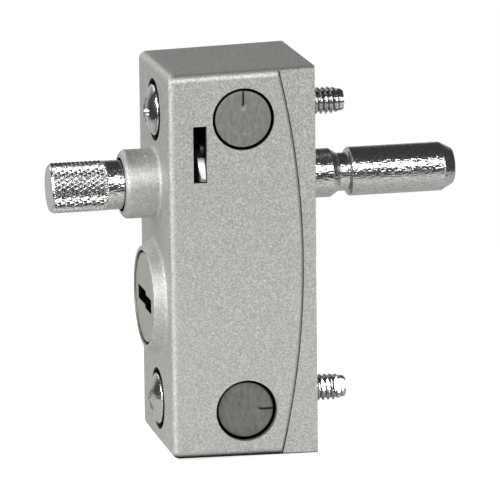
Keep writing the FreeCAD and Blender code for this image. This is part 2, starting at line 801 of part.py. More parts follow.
hole_plug("hole_plug_upper", "screw_side", "plug_top", True)
hole_plug("hole_plug_lower", "-screw_side", "plug_lower_top", False)

# Key cylinder: the fixed housing

housing = new_body("cylinder_housing")
tube = sketch_on(housing, "HousingOutline", "YZ_Plane", rise="housing_front", up="-cylinder_drop")
circle(tube, "housing_radius")
circle(tube, "core_bore")
pad(housing, "Tube", tube, "-chamber_depth - housing_front")
grooves = sketch_on(housing, "LockingGrooves", "YZ_Plane", rise="groove_end", up="-cylinder_drop")
cross(grooves, "groove_reach", "groove_half")
pocket(housing, "WaferGrooves", grooves, "groove_end - housing_front - end_gap")
pin_seat = sketch_on(housing, "PinSeatOutline", "XY_Plane", rise="housing_bore - cylinder_drop",
                     across="-locking_pin_inset")
circle(pin_seat, "locking_pin_radius + screw_gap")
pocket(housing, "PinSeat", pin_seat, "locking_pin_depth + housing_gap + end_gap")

locking_pin = new_body("housing_locking_pin")
pin_outline = sketch_on(locking_pin, "PinOutline", "XY_Plane",
                        rise="housing_radius - cylinder_drop - locking_pin_depth",
                        across="-locking_pin_inset")
circle(pin_outline, "locking_pin_radius")
pad(locking_pin, "Pin", pin_outline,
    "cavity_floor + cylinder_drop + locking_pin_depth - housing_radius")

# Key cylinder: the core that the key turns

core = new_body("cylinder_core")
flange = sketch_on(core, "FlangeOutline", "YZ_Plane", rise="core_face", up="-cylinder_drop")
circle(flange, "flange_radius")
pad(core, "Flange", flange, "flange_thickness")
barrel_ring = sketch_on(core, "BarrelOutline", "YZ_Plane", rise="core_face", up="-cylinder_drop")
circle(barrel_ring, "core_radius")
pad(core, "Barrel", barrel_ring, "core_end - core_face")
round_edges(core, "FlangeEdge", "flange_round", [[at("x", "core_face")]])
tail = sketch_on(core, "TailOutline", "YZ_Plane", rise="core_end", up="-cylinder_drop")
rectangle(tail, "-tail_half", "tail_half", "-tail_half", "tail_half")
pad(core, "Tail", tail, "tail_length")
keyhole = sketch_on(core, "KeyholeOutline", "YZ_Plane", rise="core_face", up="-cylinder_drop")
outline(keyhole, [
    ("keyway_half", "-keyway_up"), ("keyway_half", "keyway_up"),
    ("-keyway_step", "keyway_up"), ("-keyway_step - keyway_step", "keyway_up - keyway_step"),
    ("-keyway_half", "keyway_up - keyway_step"), ("-keyway_half", "-keyway_up - keyway_step"),
    ("-keyway_step", "-keyway_up - keyway_step"), ("0", "-keyway_up")])
pocket(core, "Keyhole", keyhole, "flange_thickness + end_gap", reverse=True)
keyway = sketch_on(core, "KeywayOutline", "YZ_Plane", rise="core_face + flange_thickness",
                   up="-cylinder_drop")
rectangle(keyway, "-inner_keyway_half", "inner_keyway_half", "-keyway_up", "keyway_up")
pocket(core, "Keyway", keyway, "keyway_depth - flange_thickness", reverse=True)
cam_thread = sketch_on(core, "CamScrewHole", "YZ_Plane", rise="core_end + tail_length",
                       up="-cylinder_drop")
circle(cam_thread, "cam_screw_radius + screw_gap")
pocket(core, "CamScrewBore", cam_thread, "cam_screw_length")


wafer_slot = sketch_on(core, "WaferSlotOutline", "YZ_Plane",
                       rise="-wafer_first - wafer_gap", up="-cylinder_drop")
rectangle(wafer_slot, "-housing_radius", "housing_radius", "-wafer_slot_half", "wafer_slot_half")
first_slot = pocket(core, "WaferSlot", wafer_slot,
                    "wafer_thickness + wafer_gap + wafer_gap", reverse=True)
lug_slot = sketch_on(core, "LugSlotOutline", "YZ_Plane",
                     rise="-wafer_first - wafer_gap", up="-cylinder_drop")
rectangle(lug_slot, "-wafer_spring_length - lug_half - wafer_gap",
          "groove_depth + lug_half + wafer_gap", "-lug_low - wafer_gap", "-wafer_half")
first_lug = pocket(core, "LugSlot", lug_slot, "wafer_thickness + wafer_gap + wafer_gap",
                   reverse=True)
slots = core.newObject("PartDesign::LinearPattern", "WaferSlots")
slots.Originals = [first_slot, first_lug]
slots.Direction = (wafer_slot, ["N_Axis"])
slots.Occurrences = WAFER_COUNT
bind(slots, "Length", " + ".join(["wafer_pitch"] * (WAFER_COUNT - 1)))
core.Tip = slots


def wafer(index):
    """A tumbler plate whose window is cut to one step of the key."""
    body = new_body("wafer_%d" % (index + 1))
    place = "-wafer_first" + " + wafer_pitch" * index
    plate = sketch_on(body, "WaferOutline%d" % index, "YZ_Plane", rise=place,
                        up="-cylinder_drop")
    outline(plate, [
        ("wafer_corner", "-wafer_half"), ("wafer_corner", "wafer_half"),
        ("-wafer_corner", "wafer_half"), ("-wafer_corner", "-wafer_half")],
        bows={0: ("0", "0", 1), 2: ("0", "0", 1)})
    pad(body, "WaferPlate%d" % index, plate, "wafer_thickness")
    lug = sketch_on(body, "WaferLug%d" % index, "YZ_Plane", rise=place, up="-cylinder_drop")
    rectangle(lug, "-lug_half", "lug_half", "-lug_low", "-wafer_half + wafer_gap")
    pad(body, "Lug%d" % index, lug, "wafer_thickness")
    steps = (2 * index) % WAFER_COUNT - WAFER_COUNT // 2
    shift = (" + bitting_step" if steps > 0 else " - bitting_step") * abs(steps)
    opening = sketch_on(body, "WaferWindow%d" % index, "YZ_Plane", rise=place,
                        up="-cylinder_drop")
    rectangle(opening, "-window_half" + shift, "window_half" + shift,
              "-keyway_up - wafer_gap", "keyway_up + wafer_gap")
    pocket(body, "Window%d" % index, opening, "wafer_thickness", reverse=True)
    return body


wafers = [wafer(index) for index in range(WAFER_COUNT)]

# Eccentric cam and its screw

cam = new_body("drive_cam")
disc = sketch_on(cam, "DiscOutline", "YZ_Plane", rise="core_end", up="-cylinder_drop")
circle(disc, "cam_radius")
pad(cam, "Disc", disc, "cam_thickness")
boss = sketch_on(cam, "EccentricOutline", "YZ_Plane", rise="cam_back", across="eccentric_side",
                 up="-cylinder_drop - eccentric_side")
circle(boss, "eccentric_radius")
pad(cam, "Eccentric", boss, "eccentric_length")
socket = sketch_on(cam, "SocketOutline", "YZ_Plane", rise="core_end", up="-cylinder_drop")
rectangle(socket, "-tail_half - tail_gap", "tail_half + tail_gap",
          "-tail_half - tail_gap", "tail_half + tail_gap")
pocket(cam, "Socket", socket, "tail_length + end_gap", reverse=True)
cam_hole = sketch_on(cam, "CamHoleOutline", "YZ_Plane", rise="core_end", up="-cylinder_drop")
circle(cam_hole, "cam_screw_radius + screw_gap")
pocket(cam, "CamHole", cam_hole, "through", reverse=True)

cam_screw = new_body("cam_screw")
cam_screw_side = sketch_on(cam_screw, "CamScrewProfile", "XZ_Plane", up="-cylinder_drop")
outline(cam_screw_side, [
    ("core_end + tail_length - cam_screw_length + end_gap", "0"),
    ("core_end + tail_length - cam_screw_length + end_gap", "cam_screw_radius"),
    ("eccentric_end", "cam_screw_radius"), ("eccentric_end", "cam_screw_head"),
    ("eccentric_end + cam_screw_head_height", "cam_screw_head - screw_gap"),
    ("eccentric_end + cam_screw_head_height", "0")])
revolve(cam_screw, "Revolution", "CamScrew", cam_screw_side)


# Small coil springs, each drawn as a closed sleeve of its own size

def wafer_spring(index):
    """The spring that pushes on one wafer's lug."""
    name = "wafer_spring_%s" % "abcde"[index]
    body = new_body(name)
    place = "wafer_middle - wafer_first" + " + wafer_pitch" * index
    ring = sketch_on(body, name + "_ring", "XZ_Plane", rise="lug_half", across=place,
                     up="-cylinder_drop - wafer_spring_axis")
    circle(ring, "wafer_spring_radius")
    circle(ring, "wafer_spring_radius - wafer_spring_wire")
    pad(body, name + "_coil", ring, "wafer_spring_length")
    return body


def latch_spring(name, side):
    body = new_body(name)
    ring = sketch_on(body, name + "_ring", "XY_Plane", rise="cavity_floor - spring_well_depth",
                     across="-latch_spring_inset", up=side)
    circle(ring, "latch_spring_radius")
    circle(ring, "latch_spring_radius - latch_spring_wire")
    pad(body, name + "_coil", ring, "spring_well_depth + leg_low - cavity_floor - spring_gap")
    return body


latch_spring("latch_spring_front", "-latch_spring_side")
latch_spring("latch_spring_rear", "latch_spring_side")

doc.recompute()

# Groups of like pieces share one node

def group(node, members):
    bundle = doc.addObject("Part::Compound", "".join(w.title() for w in node.split("_")))
    bundle.Label = node
    bundle.Links = members
    return bundle


plate_screws = group("back_plate_screws", [
    countersunk_screw("plate_screw_%s_%s" % (level_name, side_name), side, rise, level)
    for level_name, level in (("low", "-plate_screw_low"), ("top", "plate_screw_top"))
    for side_name, side, rise in (("front", "-plate_screw_side", "plate_screw_side"),
                                  ("rear", "plate_screw_side", "-plate_screw_side"))])
wafer_springs = group("wafer_springs", [wafer_spring(index) for index in range(WAFER_COUNT)])
doc.recompute()

# Checks and export

grouped = {member.Name for bundle in (plate_screws, wafer_springs) for member in bundle.Links}
nodes = [item for item in doc.Objects
         if item.TypeId in ("PartDesign::Body", "Part::Compound") and item.Name not in grouped]
faults = [item.Name for item in doc.Objects
          if "Invalid" in item.State or "Error" in item.State]
if faults:
    raise RuntimeError("failed features: " + ", ".join(faults))
for item in nodes:
    if item.Shape.isNull() or not item.Shape.isValid() or item.Shape.Volume <= 0:
        raise RuntimeError("%s has no valid shape" % item.Label)

os.makedirs("parts", exist_ok=True)
for item in nodes:
    item.Shape.exportStep(os.path.join("parts", item.Label + ".step"))
    box = item.Shape.optimalBoundingBox(False)
    print("%-22s solids %d  volume %9.2f  x %.2f %.2f  y %.2f %.2f  z %.2f %.2f" % (
        item.Label, len(item.Shape.Solids), item.Shape.Volume,
        box.XMin, box.XMax, box.YMin, box.YMax, box.ZMin, box.ZMax))
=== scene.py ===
import math

import bmesh
import bpy
from mathutils import Matrix, Vector


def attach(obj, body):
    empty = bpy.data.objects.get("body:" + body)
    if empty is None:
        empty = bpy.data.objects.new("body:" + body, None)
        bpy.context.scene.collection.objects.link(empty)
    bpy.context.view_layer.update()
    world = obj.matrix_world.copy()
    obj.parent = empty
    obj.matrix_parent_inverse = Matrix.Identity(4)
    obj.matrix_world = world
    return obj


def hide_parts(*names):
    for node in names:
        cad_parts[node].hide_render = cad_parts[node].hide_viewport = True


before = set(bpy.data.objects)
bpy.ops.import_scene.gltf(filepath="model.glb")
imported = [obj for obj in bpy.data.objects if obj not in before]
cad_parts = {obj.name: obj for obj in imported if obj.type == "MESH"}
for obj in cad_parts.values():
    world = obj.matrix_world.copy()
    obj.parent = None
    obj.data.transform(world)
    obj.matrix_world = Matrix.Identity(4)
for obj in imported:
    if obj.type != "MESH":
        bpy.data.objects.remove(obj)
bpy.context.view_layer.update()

# A patio door lock, standing upright as it would on the door: silver casing,
# plated bolt with a knurled knob, key cylinder, latch tab, screws and covers.
# Sizes of the lock and the camera are millimetres, and each mesh ends in metres.
# The lamps and the bright strip of the floor are placed in metres.

scene = bpy.context.scene
scene.view_settings.view_transform = "Standard"
MM = 0.001
MATH = "ShaderNodeMath"


def direction(azimuth, elevation):
    """The unit vector at so many degrees from the front towards +X, and upwards."""
    azimuth = math.radians(azimuth)
    elevation = math.radians(elevation)
    return Vector((math.sin(azimuth) * math.cos(elevation),
                   -math.cos(azimuth) * math.cos(elevation),
                   math.sin(elevation)))


# Camera, fitted to seven corners of the casing

AZIMUTH = -12.63
ELEVATION = 12.80
ROLL = math.radians(-0.657)
DISTANCE = 1014.8
LENS = 358.78
SENSOR = 36.0
AIM = Vector((-10.0, 0.0, 0.0))
AIM_SHIFT = (-0.435, -0.234)
SIGHT_LIMIT = 20000.0

back = direction(AZIMUTH, ELEVATION)
level = (-back).cross(Vector((0, 0, 1))).normalized()
upright = level.cross(-back)
right = math.cos(ROLL) * level + math.sin(ROLL) * upright
up = -math.sin(ROLL) * level + math.cos(ROLL) * upright
lens_place = AIM + right * AIM_SHIFT[0] + up * AIM_SHIFT[1] + back * DISTANCE
turn = Matrix((right, up, back)).transposed().to_4x4()
optics = bpy.data.cameras.new("Camera")
optics.lens = LENS
optics.sensor_width = SENSOR
optics.sensor_fit = "HORIZONTAL"
optics.clip_end = SIGHT_LIMIT * MM
camera = bpy.data.objects.new("Camera", optics)
camera.matrix_world = Matrix.Translation(lens_place * MM) @ turn
scene.collection.objects.link(camera)
scene.camera = camera


# Nodes and colours

def colour(text):
    """The linear colour of an sRGB hex value."""
    parts = [int(text[at:at + 2], 16) / 255 for at in (0, 2, 4)]
    return tuple(part / 12.92 if part <= 0.04045 else ((part + 0.055) / 1.055) ** 2.4
                 for part in parts) + (1.0,)


def add(tree, kind, feeds=(), stops=(), **settings):
    """One node. Feeds go to sockets by name, or in order where they are a list.

    A feed is a value, a socket, or a node whose first output is meant. Stops are
    those of a colour ramp, each a position and an sRGB hex value.
    """
    node = tree.nodes.new(kind)
    for name, value in settings.items():
        setattr(node, name, value)
    if stops:
        for stop, (position, text) in zip(node.color_ramp.elements, stops):
            stop.position = position
            stop.color = colour(text)
    for socket, feed in (feeds.items() if isinstance(feeds, dict) else enumerate(feeds)):
        if isinstance(feed, bpy.types.Node):
            feed = feed.outputs[0]
        if isinstance(feed, bpy.types.NodeSocket):
            tree.links.new(feed, node.inputs[socket])
        else:
            node.inputs[socket].default_value = feed
    return node


def per_mm(size):
    """The texture scale whose pattern repeats about every so many millimetres."""
    return 1.0 / (size * MM)


def sight(tree):
    """Whether the camera sees a point, straight or through glass, and whether metal does."""
    rays = add(tree, "ShaderNodeLightPath").outputs
    seen = add(tree, MATH, [rays["Is Camera Ray"], rays["Is Transmission Ray"]],
               operation="MAXIMUM")
    return seen, rays["Is Glossy Ray"]


# Materials. A pixel of the picture is 0.2 mm, and the real flakes, brush lines and
# ripples are finer, so they are drawn as coarse as they need to be to show.

SKY_RAYS = 8
DEEPEST_TONE = 0.02
FLAKE_LEAN = 0.19
MID_COLOUR = (0.5, 0.5, 0.5)
GLOSS_SPREAD = 0.08


def finish(name, **sockets):
    """A material with one principled surface whose sockets are set by name."""
    material = bpy.data.materials.new(name)
    material.use_nodes = True
    tree = material.node_tree
    tree.nodes.clear()
    surface = add(tree, "ShaderNodeBsdfPrincipled",
                  {socket.replace("_", " "): value for socket, value in sockets.items()})
    add(tree, "ShaderNodeOutputMaterial", {"Surface": surface})
    place = add(tree, "ShaderNodeTexCoord").outputs["Object"]
    return material, tree, surface, place


def painted_crevice_shade(tree, surface, tone, reach, clean=0.50, shaded_share=0.28):
    """Colour a surface, with painted shade that takes it to near black down narrow gaps and holes.

    The darkening is painted shade, for the shade that falls in there. Reach is the
    width in millimetres of the gaps that count as narrow. The colour is whole from
    the higher share of open sky given, and gone below the lower one.
    """
    sky = add(tree, "ShaderNodeAmbientOcclusion", {"Distance": reach * MM}, samples=SKY_RAYS)
    light_left = add(tree, "ShaderNodeMapRange", {
        "Value": sky.outputs["AO"], "From Min": shaded_share, "From Max": clean,
        "To Min": DEEPEST_TONE, "To Max": 1.0})
    shown = add(tree, "ShaderNodeVectorMath", {0: tone, 3: light_left}, operation="SCALE")
    tree.links.new(shown.outputs[0], surface.inputs["Base Color"])


def silver_paint():
    """Aluminium-flake paint sprayed on die-cast zinc.

    The flakes lie at slightly different tilts, so that the surface glitters in
    points of about a fifth of a millimetre, over the fine swell of sprayed paint.
    """
    material, tree, surface, place = finish("silver_flake_paint", Metallic=1.0, Roughness=0.58)
    flakes = add(tree, "ShaderNodeTexVoronoi", {"Vector": place, "Scale": per_mm(0.21)})
    chance = add(tree, "ShaderNodeSeparateColor", {0: flakes.outputs["Color"]})
    swell = add(tree, "ShaderNodeTexNoise",
                {"Vector": place, "Scale": per_mm(0.9), "Detail": 3.0})
    grain = add(tree, "ShaderNodeTexNoise",
                {"Vector": place, "Scale": per_mm(0.35), "Detail": 2.0})
    tone = add(tree, MATH, [chance.outputs[0], grain.outputs[0]], operation="MULTIPLY")
    shade = add(tree, "ShaderNodeValToRGB", {0: tone},
                stops=((0.05, "BBBCB8"), (0.55, "E2E3DF")))
    # Painted shade: the paint falls to near black in the latch window, the screw counterbores and
    # other narrow gaps.
    painted_crevice_shade(tree, surface, shade, reach=9.0)
    tilt = add(tree, "ShaderNodeVectorMath", {0: flakes.outputs["Color"], 1: MID_COLOUR},
               operation="SUBTRACT")
    lean = add(tree, "ShaderNodeVectorMath", {0: tilt, 3: FLAKE_LEAN}, operation="SCALE")
    peel = add(tree, "ShaderNodeBump",
               {"Height": swell, "Strength": 0.35, "Distance": 0.02 * MM})
    aim = add(tree, "ShaderNodeVectorMath", {0: peel, 1: lean}, operation="ADD")
    flat = add(tree, "ShaderNodeVectorMath", {0: aim}, operation="NORMALIZE")
    tree.links.new(flat.outputs[0], surface.inputs["Normal"])
    return material


def bright_plate(name, ripple_deep):
    """Bright nickel plate on turned steel, whose ripples are so many millimetres deep.

    It mirrors the studio in a broken, speckled way, for the drawn steel under it
    is faintly rippled, and where the steel keeps fine streaks along the bar, about
    three quarters of a millimetre long, the thin plate is duller and darker.
    """
    material, tree, surface, place = finish(name, Metallic=1.0, Roughness=0.12)
    along = add(tree, "ShaderNodeMapping", {"Vector": place, "Scale": (0.4, 1.0, 1.0)})
    streak = add(tree, "ShaderNodeTexNoise",
                 {"Vector": along, "Scale": per_mm(0.30), "Detail": 3.0, "Roughness": 0.65})
    ripple = add(tree, "ShaderNodeTexNoise",
                 {"Vector": along, "Scale": per_mm(0.42), "Detail": 2.0})
    dull = add(tree, "ShaderNodeMapRange", {
        "Value": streak, "From Min": 0.35, "From Max": 0.65, "To Min": 0.22, "To Max": 0.10})
    tree.links.new(dull.outputs[0], surface.inputs["Roughness"])
    tint = add(tree, "ShaderNodeValToRGB", {0: streak},
               stops=((0.36, "B9BCBC"), (0.60, "E4E5E2")))
    # Painted shade: the plate darkens down the knurl's grooves, the screw recesses and other narrow
    # gaps.
    painted_crevice_shade(tree, surface, tint, reach=1.2)
    swell = add(tree, "ShaderNodeBump",
                {"Height": ripple, "Strength": 1.0, "Distance": ripple_deep * MM})
    tree.links.new(swell.outputs[0], surface.inputs["Normal"])
    return material


def satin_nickel():
    """Satin nickel plate, brushed upright, on the brass face of the key cylinder."""
    material, tree, surface, place = finish("satin_nickel_plate", Metallic=1.0, Roughness=0.36)
    along = add(tree, "ShaderNodeMapping", {"Vector": place, "Scale": (1.0, 1.0, 0.05)})
    brush = add(tree, "ShaderNodeTexNoise",
                {"Vector": along, "Scale": per_mm(0.22), "Detail": 3.0})
    tint = add(tree, "ShaderNodeValToRGB", {0: brush},
               stops=((0.25, "BDBEB6"), (0.75, "DADBD2")))
    # Painted shade: the keyway and the gap around the face fall to near black.
    painted_crevice_shade(tree, surface, tint, reach=8.0, clean=0.85, shaded_share=0.55)
    lines = add(tree, "ShaderNodeBump",
                {"Height": brush, "Strength": 0.4, "Distance": 0.01 * MM})
    tree.links.new(lines.outputs[0], surface.inputs["Normal"])
    return material


def grey_nylon(name, dark, light):
    """Moulded grey nylon: a soft sheen, with fine upright marks from wiping and wear."""
    material, tree, surface, place = finish(name, Roughness=0.42, IOR=1.53)
    along = add(tree, "ShaderNodeMapping", {"Vector": place, "Scale": (1.0, 1.0, 0.4)})
    marks = add(tree, "ShaderNodeTexNoise",
                {"Vector": along, "Scale": per_mm(0.7), "Detail": 5.0, "Roughness": 0.6})
    tint = add(tree, "ShaderNodeValToRGB", {0: marks}, stops=((0.3, dark), (0.7, light)))
    # Painted shade: the cover darkens in its slit and near the wall of its hole.
    painted_crevice_shade(tree, surface, tint, reach=3.0, clean=0.80)
    skin = add(tree, "ShaderNodeTexNoise",
               {"Vector": place, "Scale": per_mm(0.5), "Detail": 3.0})
    relief = add(tree, "ShaderNodeBump",
                 {"Height": skin, "Strength": 0.3, "Distance": 0.01 * MM})
    tree.links.new(relief.outputs[0], surface.inputs["Normal"])
    return material


def bare_metal(name, dark, light, gloss, grain, stretch=(1.0, 1.0, 1.0), relief=0.02):
    """An uncoated metal whose grain has the given size and stretch."""
    material, tree, surface, place = finish(name, Metallic=1.0, Roughness=gloss)
    along = add(tree, "ShaderNodeMapping", {"Vector": place, "Scale": stretch})
    spots = add(tree, "ShaderNodeTexNoise",
                {"Vector": along, "Scale": per_mm(grain), "Detail": 5.0})
    tint = add(tree, "ShaderNodeValToRGB", {0: spots}, stops=((0.3, dark), (0.7, light)))
    tree.links.new(tint.outputs[0], surface.inputs["Base Color"])
    dull = add(tree, "ShaderNodeMapRange", {
        "Value": spots, "From Min": 0.3, "From Max": 0.7,
        "To Min": gloss - GLOSS_SPREAD, "To Max": gloss + GLOSS_SPREAD})
    tree.links.new(dull.outputs[0], surface.inputs["Roughness"])
    skin = add(tree, "ShaderNodeBump",
               {"Height": spots, "Strength": 0.5, "Distance": relief * MM})
    tree.links.new(skin.outputs[0], surface.inputs["Normal"])
    return material


PAINT = silver_paint()
DRAWN = bright_plate("nickel_plate_on_drawn_bar", ripple_deep=0.125)
PLATE = bright_plate("bright_nickel_plate", ripple_deep=0.05)
NICKEL = satin_nickel()
# The lower cover has a darker copy of the same nylon: painted shade for the lower cover, which sits
# deeper in its hole.
NYLON = {"upper": grey_nylon("grey_nylon", "6A6B68", "858682"),
         "lower": grey_nylon("shaded_grey_nylon", "575855", "72736F")}
# Cold-rolled steel has long faint lines from the rolls
ROLLED = bare_metal("cold_rolled_steel", "8E9192", "B4B6B5", gloss=0.38, grain=0.8,
                    stretch=(1.0, 1.0, 0.06))
# Die-cast zinc out of the mould is dull and slightly mottled
ZINC = bare_metal("die_cast_zinc", "7F8385", "A4A7A8", gloss=0.52, grain=1.6, relief=0.05)
# Turned brass has fine tool lines across the axis
BRASS = bare_metal("turned_brass", "B5924E", "D8B972", gloss=0.30, grain=0.3,
                   stretch=(1.0, 0.1, 0.1), relief=0.01)
# Zinc-plated sheet is paler and softer than the bright plate of the turned parts
SHEET = bare_metal("zinc_plated_sheet", "A4A7A9", "D2D4D4", gloss=0.36, grain=0.4, relief=0.04)
# Drawn spring wire is bright and smooth
WIRE = bare_metal("drawn_spring_wire", "8A8C8C", "C0C2C0", gloss=0.25, grain=0.5,
                  stretch=(1.0, 1.0, 0.3), relief=0.01)


# Making pieces

# Points nearer than this are merged, in the meshes built here and in copies of the CAD's
WELD = 1e-4
CAD_WELD = 0.0005
# A smaller radius than this is a point on the axis
ON_AXIS = 1e-6


def settle(item):
    """Take the modifiers' result in as the object's own plain mesh."""
    bpy.context.view_layer.update()
    seen = item.evaluated_get(bpy.context.evaluated_depsgraph_get())
    shaped = bpy.data.meshes.new_from_object(seen)
    item.modifiers.clear()
    item.data = shaped


def piece(name, mesh, material, body, node, edge=0.0, crease=32.0, cutters=()):
    """A finished object from a mesh in metres: cuts, edge rounds and even shading."""
    item = bpy.data.objects.new(name, mesh)
    scene.collection.objects.link(item)
    mesh.materials.clear()
    mesh.materials.append(material)
    for tool in cutters:
        cut = item.modifiers.new("Cut", "BOOLEAN")
        cut.object = tool
        cut.solver = "EXACT"
    if cutters:
        settle(item)
    if edge:
        rounds = item.modifiers.new("Edges", "BEVEL")
        rounds.width = edge * MM
        rounds.segments = 2
        rounds.limit_method = "ANGLE"
        rounds.angle_limit = math.radians(crease)
        rounds.use_clamp_overlap = True
        settle(item)
    item.data.shade_smooth()
    item.data.set_sharp_from_angle(angle=math.radians(crease))
    even = item.modifiers.new("Even", "WEIGHTED_NORMAL")
    even.keep_sharp = True
    settle(item)
    for tool in cutters:
        bpy.data.objects.remove(tool)
    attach(item, body)
    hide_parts(node)


def from_bmesh(name, bm):
    """A mesh in metres from a bmesh in millimetres, its faces outward."""
    bmesh.ops.remove_doubles(bm, verts=bm.verts, dist=WELD)
    bmesh.ops.recalc_face_normals(bm, faces=bm.faces)
    bmesh.ops.scale(bm, vec=(MM, MM, MM), verts=bm.verts)
    mesh = bpy.data.meshes.new(name)
    bm.to_mesh(mesh)
    bm.free()
    return mesh


def cad_copy(node):
    """A merged copy of a CAD node's loose triangles."""
    bm = bmesh.new()
    bm.from_mesh(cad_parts[node].data)
    bmesh.ops.remove_doubles(bm, verts=bm.verts, dist=CAD_WELD * MM)
    bmesh.ops.dissolve_degenerate(bm, edges=bm.edges, dist=CAD_WELD * MM)
    merged = bpy.data.meshes.new(node + "_copy")
    bm.to_mesh(merged)
    bm.free()
    if "custom_normal" in merged.attributes:
        merged.attributes.remove(merged.attributes["custom_normal"])
    return merged


def rounded(corners, steps=4):
    """An outline of (along, radius) corners, with an arc where a corner adds its bend."""
    points = [Vector(corners[0][:2])]
    for before, corner, after in zip(corners, corners[1:], corners[2:]):
        here = Vector(corner[:2])
        if len(corner) == 2:
            points.append(here)
            continue
        bend = corner[2]
        behind = (Vector(before[:2]) - here).normalized()
        ahead = (Vector(after[:2]) - here).normalized()
        half = behind.angle(ahead) / 2
        middle = here + (behind + ahead).normalized() * (bend / math.sin(half))
        start = here + behind * (bend / math.tan(half)) - middle
        end = here + ahead * (bend / math.tan(half)) - middle
        sweep = math.atan2(start.cross(end), start.dot(end))
        for step in range(steps + 1):
            points.append(middle + Matrix.Rotation(sweep * step / steps, 2) @ start)
    points.append(Vector(corners[-1][:2]))
    return points


def turned(name, outline, place, sectors):
    """A mesh from an outline that runs from axis to axis, spun about its own X axis."""
    bm = bmesh.new()
    rows = []
    for along, radius in outline:
        count = 1 if radius < ON_AXIS else sectors
        angles = [2 * math.pi * sector / sectors for sector in range(count)]
        rows.append([bm.verts.new(place @ Vector((along, radius * math.cos(angle),
                                                  radius * math.sin(angle))))
                     for angle in angles])
    for near, far in zip(rows, rows[1:]):
        for sector in range(sectors):
            after = sector + 1
            corners = [near[sector % len(near)], near[after % len(near)],
                       far[after % len(far)], far[sector % len(far)]]
            bm.faces.new(list(dict.fromkeys(corners)))
    return from_bmesh(name, bm)


def cutter(name, rings):
    """A solid to cut with, through rings that have the same number of points."""
    bm = bmesh.new()
    rings = [[bm.verts.new(point) for point in ring] for ring in rings]
    for near, far in zip(rings, rings[1:]):
        for index in range(len(near)):
            after = (index + 1) % len(near)
            bm.faces.new([near[index], near[after], far[after], far[index]])
    bm.faces.new(rings[0])
    bm.faces.new(rings[-1])
    tool = bpy.data.objects.new(name, from_bmesh(name, bm))
    scene.collection.objects.link(tool)
    return tool


def prism(name, sections, place):
    """A cutter through rectangles (along, left, right, half width) across its own X axis."""
    return cutter(name, [
        [place @ Vector((along, across, over))
         for across, over in ((left, -half), (right, -half), (right, half), (left, half))]
        for along, left, right, half in sections])


# Geometry trees

UNIT = 1.0
FULL_HEIGHT = 1.0
HALF_PHASE = 0.5
# A whole number of phases, so it keeps a phase above zero and moves no groove
PHASE_LIFT = 100.0


def growth(name, sizes):
    """An empty geometry tree with a float input for each size, and those inputs."""
    tree = bpy.data.node_groups.new(name, "GeometryNodeTree")
    tree.interface.new_socket(name="Geometry", in_out="OUTPUT",
                              socket_type="NodeSocketGeometry")
    for label, size in sizes.items():
        socket = tree.interface.new_socket(name=label, in_out="INPUT",
                                           socket_type="NodeSocketFloat")
        socket.default_value = size
    return tree, add(tree, "NodeGroupInput").outputs


def ridge(tree, phase, flank):
    """Ridge height at a phase: 0 in the groove, rising to half the flank midway.

    A flank above 2 passes the full height, where the ridge gets its flat crest.
    """
    phase = add(tree, MATH, [phase, PHASE_LIFT], operation="ADD")
    wave = add(tree, MATH, [phase, HALF_PHASE], operation="PINGPONG")
    return add(tree, MATH, [wave, flank], operation="MULTIPLY")


def end_growth(tree, shaped, material):
    """The end of a geometry tree: its shape in metres, made real, with its material."""
    metres = add(tree, "GeometryNodeTransform", {"Geometry": shaped, "Scale": (MM, MM, MM)})
    real = add(tree, "GeometryNodeRealizeInstances", {0: metres})
    painted = add(tree, "GeometryNodeSetMaterial", {"Geometry": real, "Material": material})
    add(tree, "NodeGroupOutput", {0: painted})
    return tree


def grown(name, tree, sizes):
    """The plain mesh that a geometry tree makes with the given sizes."""
    holder = bpy.data.objects.new(name, bpy.data.meshes.new(name))
    scene.collection.objects.link(holder)
    maker = holder.modifiers.new("Make", "NODES")
    maker.node_group = tree
    for socket in tree.interface.items_tree:
        if socket.in_out == "INPUT" and socket.name in sizes:
            maker[socket.identifier] = sizes[socket.name]
    settle(holder)
    mesh = holder.data
    bpy.data.objects.remove(holder)
    return mesh


# Casing: the CAD solid, with the step along its arc cut to shape

# The cover panel falls to the strip along its arc in a rounded edge with a sharp foot
ARC_RADIUS = 167.37
ARC_MIDDLE = -170.12
ARC_REACH = 14.5
ARC_STEPS = 64
# Points of the edge's section: out from the arc, and their place on the Y axis
ARC_EDGE = [(-0.88, -15.6), (-0.88, -15.02), (-0.72, -14.98), (-0.50, -14.87), (-0.29, -14.69),
            (-0.11, -14.47), (0.00, -14.30), (0.02, -14.14), (0.16, -14.14), (0.16, -15.6)]
edge_rings = []
for step in range(ARC_STEPS + 1):
    swing = math.radians(ARC_REACH * (2.0 * step / ARC_STEPS - 1.0))
    edge_rings.append([
        Vector((ARC_MIDDLE + (ARC_RADIUS + out) * math.cos(swing), depth,
                (ARC_RADIUS + out) * math.sin(swing)))
        for out, depth in ARC_EDGE])
piece("casing_shell", cad_copy("body_casting"), PAINT, "casing", "body_casting",
      crease=30.0, cutters=[cutter("arc_edge", edge_rings)])

# Bolt: a plain bar with two latch grooves and a coned tip, and the knurled knob on it

